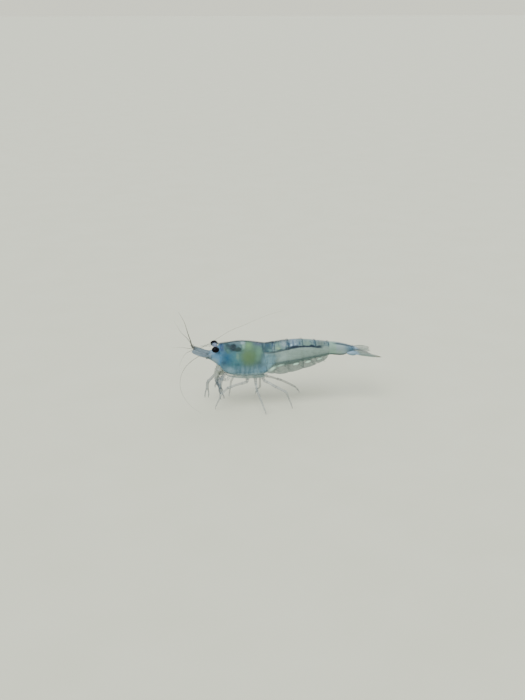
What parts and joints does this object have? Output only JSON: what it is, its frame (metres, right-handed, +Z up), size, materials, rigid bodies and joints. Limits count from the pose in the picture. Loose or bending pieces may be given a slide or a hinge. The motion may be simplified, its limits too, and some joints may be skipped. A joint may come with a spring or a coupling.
{
  "type": "dwarf freshwater shrimp",
  "caption": "Life-size still model of a pale blue dwarf shrimp with a green saddle, standing on its walking legs with feelers spread and tail fan part open.",
  "frame": {"origin": "on the floor, under the middle of the model's box", "axes": "+X towards the tail, -X towards the head, -Y the animal's left side, +Z up"},
  "size_m": [0.0304, 0.0122, 0.015],
  "materials": {
    "shell": "glossy translucent shell, pale blue",
    "limb": "glossy translucent grey-blue limb",
    "fin": "thin clear fin, faintly blue",
    "feeler": "fine grey feeler",
    "cornea": "wet black eye"
  },
  "bodies": {
    "root": {"abdomen_1": "shell", "abdomen_2": "shell", "abdomen_3": "shell", "abdomen_4": "shell", "abdomen_5": "shell", "abdomen_6": "shell", "antenna_base_left": "shell", "antenna_base_right": "shell", "antenna_left_far": "feeler", "antenna_left_near": "feeler", "antenna_right_far": "feeler", "antenna_right_near": "feeler", "antenna_scale_left": "shell", "antenna_scale_right": "shell", "antennule_left": "shell", "antennule_right": "shell", "antennule_whip_inner_left": "feeler", "antennule_whip_inner_right": "feeler", "antennule_whip_outer_left": "feeler", "antennule_whip_outer_right": "feeler", "carapace": "shell", "claw_leg_1_left": "limb", "claw_leg_1_right": "limb", "claw_leg_2_left": "limb", "claw_leg_2_right": "limb", "eye_left": "cornea", "eye_right": "cornea", "eyestalk_left": "shell", "eyestalk_right": "shell", "head": "shell", "leg_3_lower_left": "limb", "leg_3_lower_right": "limb", "leg_3_upper_left": "limb", "leg_3_upper_right": "limb", "leg_4_lower_left": "limb", "leg_4_lower_right": "limb", "leg_4_upper_left": "limb", "leg_4_upper_right": "limb", "leg_5_lower_left": "limb", "leg_5_lower_right": "limb", "leg_5_upper_left": "limb", "leg_5_upper_right": "limb", "maxilliped_left": "limb", "maxilliped_right": "limb", "pleopod_1_left": "limb", "pleopod_1_right": "limb", "pleopod_2_left": "limb", "pleopod_2_right": "limb", "pleopod_3_left": "limb", "pleopod_3_right": "limb", "pleopod_4_left": "limb", "pleopod_4_right": "limb", "pleopod_5_left": "limb", "pleopod_5_right": "limb", "rostrum": "shell", "telson": "fin", "uropod_inner_left": "fin", "uropod_inner_right": "fin", "uropod_outer_left": "fin", "uropod_outer_right": "fin"}
  },
  "joints": []
}
